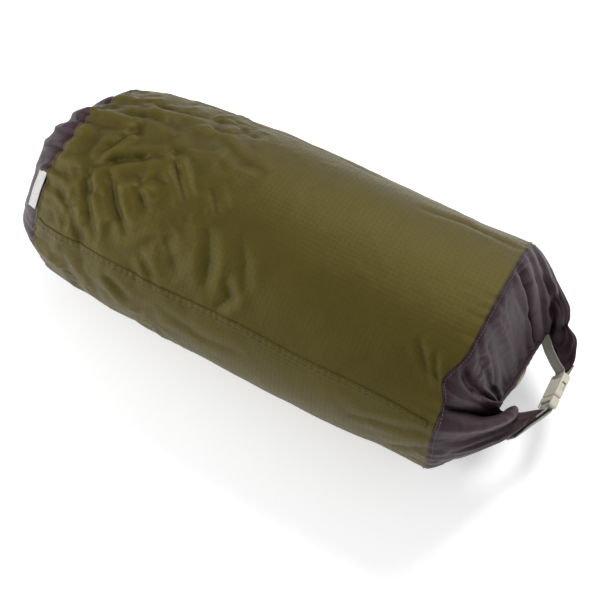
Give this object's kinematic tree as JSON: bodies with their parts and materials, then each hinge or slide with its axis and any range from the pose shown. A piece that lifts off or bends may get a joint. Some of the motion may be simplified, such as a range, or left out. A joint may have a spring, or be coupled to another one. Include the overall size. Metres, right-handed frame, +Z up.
{
  "type": "roll-top stuff sack",
  "caption": "Packed cylindrical roll-top stuff sack lying on its side, two-tone coated cloth, mouth rolled down and its ends buckled into a carry loop.",
  "frame": {"origin": "middle of the flat that the packed sack rests on, halfway between its bottom seam and its collar seam", "axes": "+X along the sack from its bottom to its rolled mouth, +Z up from the ground it lies on, +Y across it, away from the side with the lengthwise seam"},
  "size_m": [0.5914, 0.262, 0.204],
  "materials": {
    "body_cloth": "coated nylon ripstop, 5 mm grid, olive, slight sheen",
    "trim_cloth": "coated nylon, plum grey, slight sheen",
    "binding": "woven binding tape",
    "load": "loosely packed soft clothing or bedding",
    "webbing": "ribbed webbing, beige",
    "thread": "bonded thread",
    "buckle": "moulded acetal, beige",
    "label": "woven label, white, blank"
  },
  "bodies": {
    "root": {"body_panel": "body_cloth", "side_seam_fell": "body_cloth", "bottom_panel": "trim_cloth", "bottom_seam_binding": "binding", "collar_panel": "trim_cloth", "collar_seam_fell": "trim_cloth", "packed_load": "load"},
    "loop": {"mouth_roll": "trim_cloth", "mouth_tape": "webbing", "far_arm_cloth": "trim_cloth", "near_arm_cloth": "trim_cloth", "socket_tape": "webbing", "socket_bartack": "thread", "buckle_socket": "buckle"},
    "plug": {"buckle_plug": "buckle", "plug_tape": "webbing", "plug_bartack": "thread"},
    "prong_upper": {"plug_prong_upper": "buckle"},
    "prong_lower": {"plug_prong_lower": "buckle"},
    "label": {"label": "label"}
  },
  "joints": [
    {"name": "loop_swing", "type": "hinge", "parent": "root", "child": "loop", "pos_m": [0.268, 0, 0.081], "axis": [0, -1, 0], "range_deg": [0, 80]},
    {"name": "buckle_release", "type": "slide", "parent": "loop", "child": "plug", "axis": [0, -1, 0], "range_m": [0, 0.024], "deforming": ["near_arm_cloth", "plug_tape", "plug_prong_upper", "plug_prong_lower"]},
    {"name": "upper_prong_squeeze", "type": "hinge", "parent": "plug", "child": "prong_upper", "pos_m": [0.3165, 0.0136, 0.06434], "axis": [-0.9063, 0, 0.4226], "range_deg": [0, 9], "stiffness_Nm_per_rad": 0.02},
    {"name": "lower_prong_squeeze", "type": "hinge", "parent": "plug", "child": "prong_lower", "pos_m": [0.31194, 0.0136, 0.05455], "axis": [0.9063, 0, -0.4226], "range_deg": [0, 9], "stiffness_Nm_per_rad": 0.02},
    {"name": "label_flap", "type": "hinge", "parent": "root", "child": "label", "pos_m": [-0.23119, -0.08327, 0.15331], "axis": [0, 0.7546, 0.6562], "range_deg": [0, 100]}
  ],
  "couplings": [
    {"joint": "lower_prong_squeeze", "follows": "upper_prong_squeeze", "ratio": 1}
  ]
}
